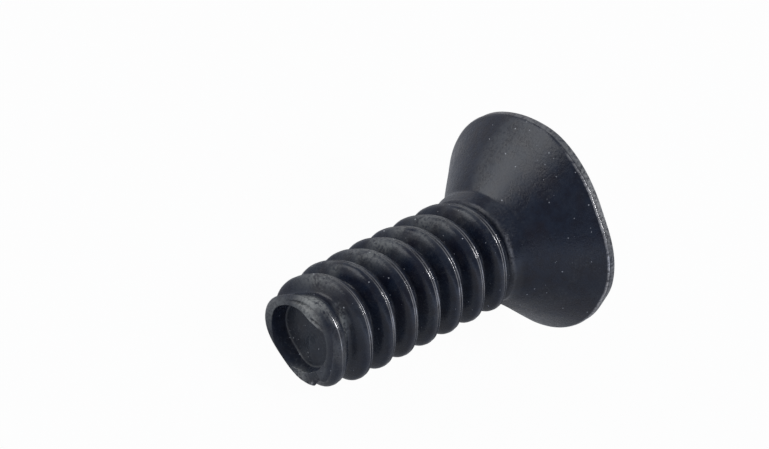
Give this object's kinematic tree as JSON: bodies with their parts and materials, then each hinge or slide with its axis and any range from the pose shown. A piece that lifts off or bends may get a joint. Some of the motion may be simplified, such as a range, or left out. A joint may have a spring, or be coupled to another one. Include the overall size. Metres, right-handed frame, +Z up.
{
  "type": "thread rolling screw",
  "caption": "Flat countersunk thread rolling screw with a cross recess, a three-lobed right-hand thread and a cupped tip, in black-finished steel.",
  "frame": {"origin": "middle of the bounding box on the table that the screw lies on, at z = 0", "axes": "+Z is up; the screw lies with its axis in the XZ plane, the head towards +X and the tip towards -X, and leans down to the tip by about 12 degrees, rolled so that the hollow between two lobes faces down; +Y is across"},
  "size_m": [0.0102, 0.0066, 0.0066],
  "materials": {
    "black_steel": "satin black phosphate on steel"
  },
  "bodies": {
    "root": {"screw": "black_steel"}
  },
  "joints": []
}
